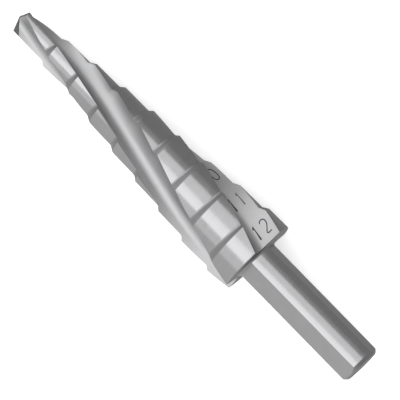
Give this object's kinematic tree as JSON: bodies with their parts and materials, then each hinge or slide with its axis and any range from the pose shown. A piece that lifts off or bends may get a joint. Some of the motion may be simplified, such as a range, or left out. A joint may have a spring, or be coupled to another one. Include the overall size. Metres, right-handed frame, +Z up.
{
  "type": "step drill",
  "caption": "Step drill of ground high-speed steel with spiral flutes through its stepped cutting diameters and a shank with flats for a drill chuck.",
  "frame": {"origin": "on the floor under the middle of the drill's box, as the drill lies at rest", "axes": "+X along the drill towards its point, +Z up; the axis dips by about 3 degrees towards the point, because the drill lies on the rims of its steps"},
  "size_m": [0.0656, 0.0118, 0.0116],
  "materials": {
    "ground_steel": "ground and polished high-speed steel, bright, with fine grinding lines"
  },
  "bodies": {
    "root": {"step_drill": "ground_steel"}
  },
  "joints": []
}
